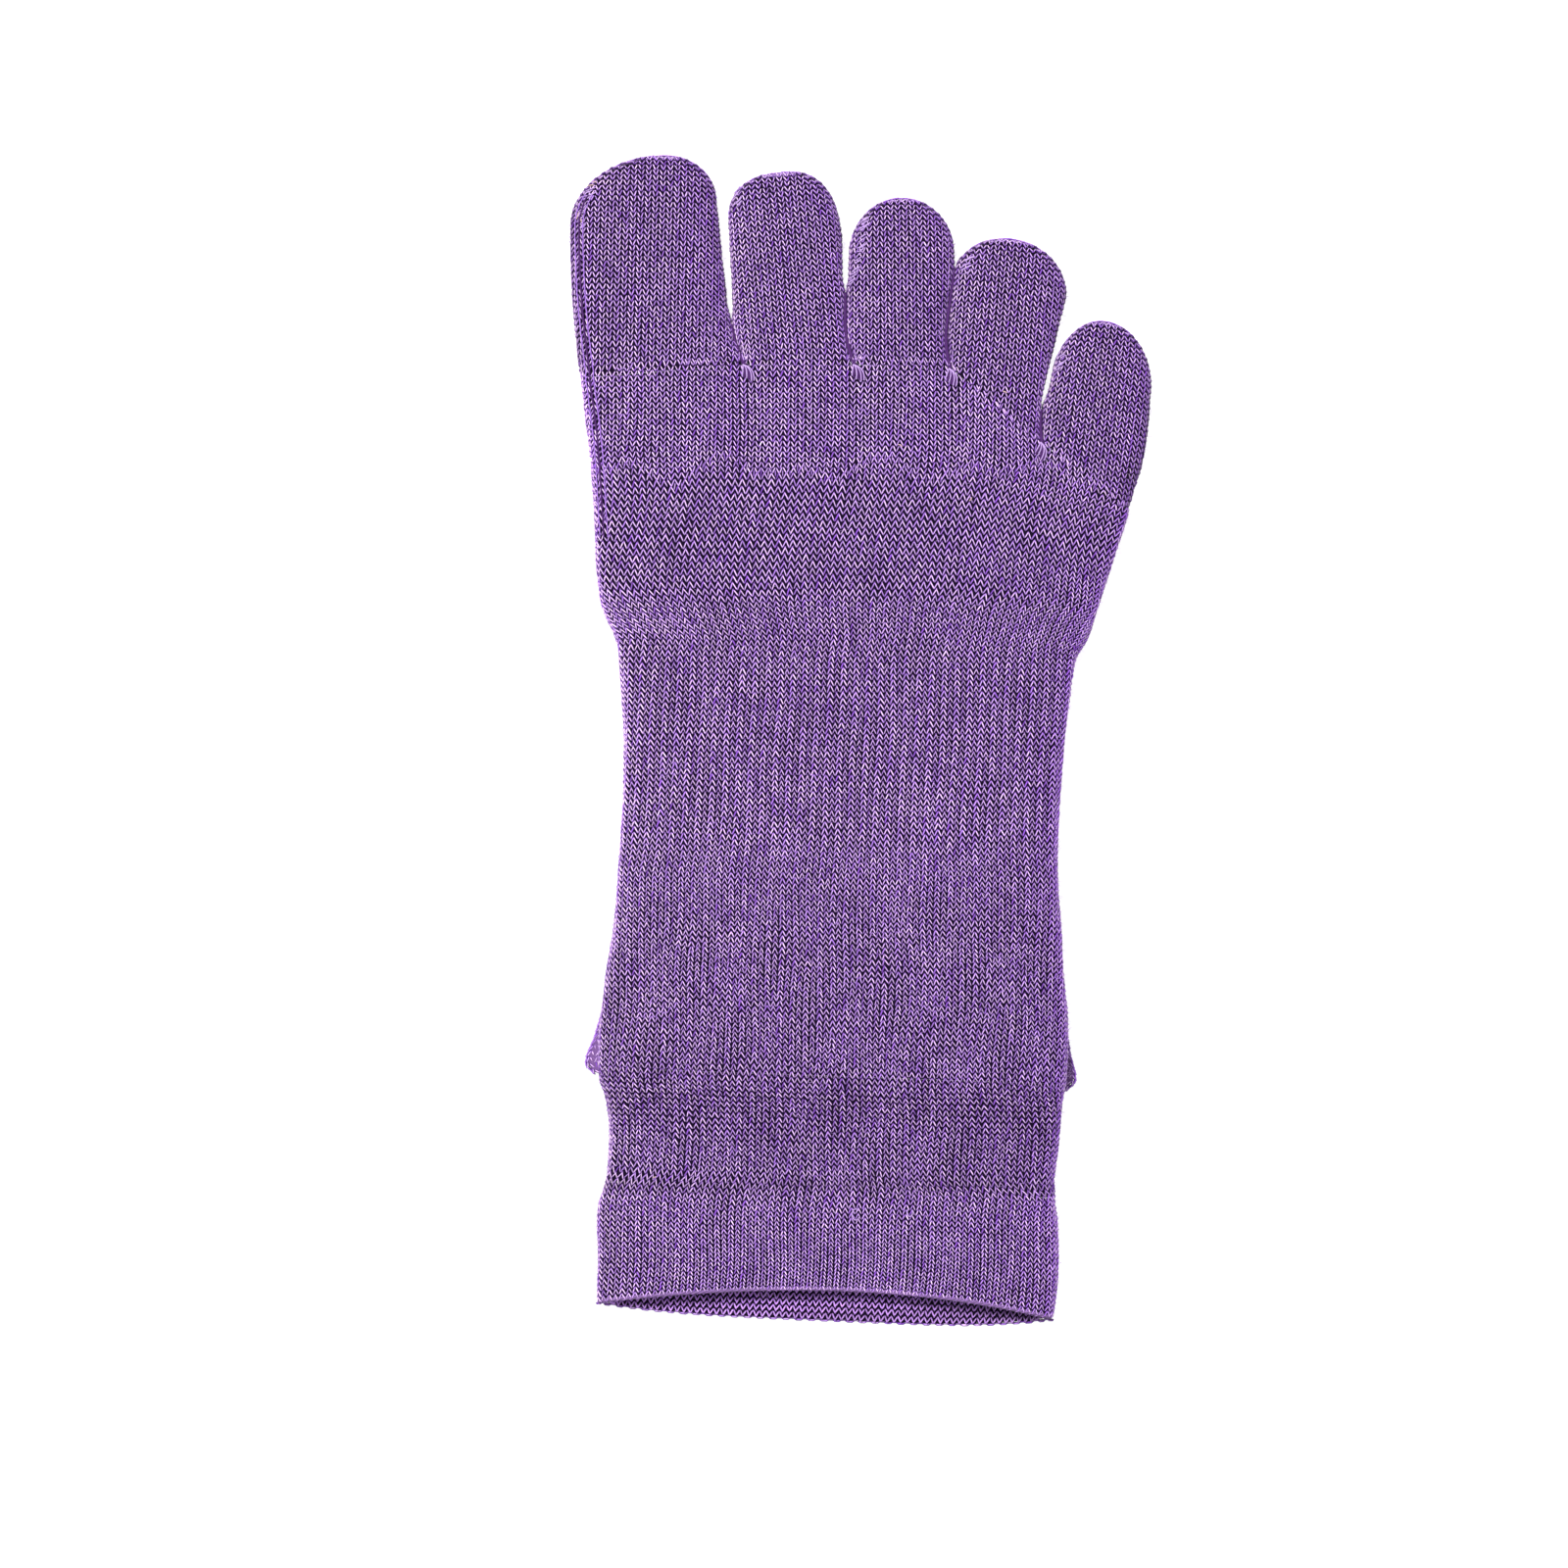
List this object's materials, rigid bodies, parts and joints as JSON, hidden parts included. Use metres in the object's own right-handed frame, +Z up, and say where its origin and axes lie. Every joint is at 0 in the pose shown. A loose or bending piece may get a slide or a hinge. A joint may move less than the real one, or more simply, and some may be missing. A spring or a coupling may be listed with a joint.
{
  "type": "toe sock",
  "caption": "Hollow knitted toe sock for the right foot, lying flat with its instep up: separate toe pockets, foot, heel cup folded under, leg and cuff, open at the mouth.",
  "frame": {"origin": "middle of the footprint, on the surface that the sock lies on", "axes": "+Y towards the toes, +Z up through the instep, big toe on the -X side"},
  "size_m": [0.1042, 0.2098, 0.0106],
  "materials": {
    "yarn": "soft stockinette knit",
    "cuff_yarn": "dense elastic knit",
    "heel_yarn": "soft stockinette knit"
  },
  "bodies": {
    "root": {"big_toe": "yarn", "second_toe": "yarn", "third_toe": "yarn", "fourth_toe": "yarn", "little_toe": "yarn", "foot": "yarn", "heel_pocket": "heel_yarn", "leg": "yarn", "cuff": "cuff_yarn"}
  },
  "joints": []
}
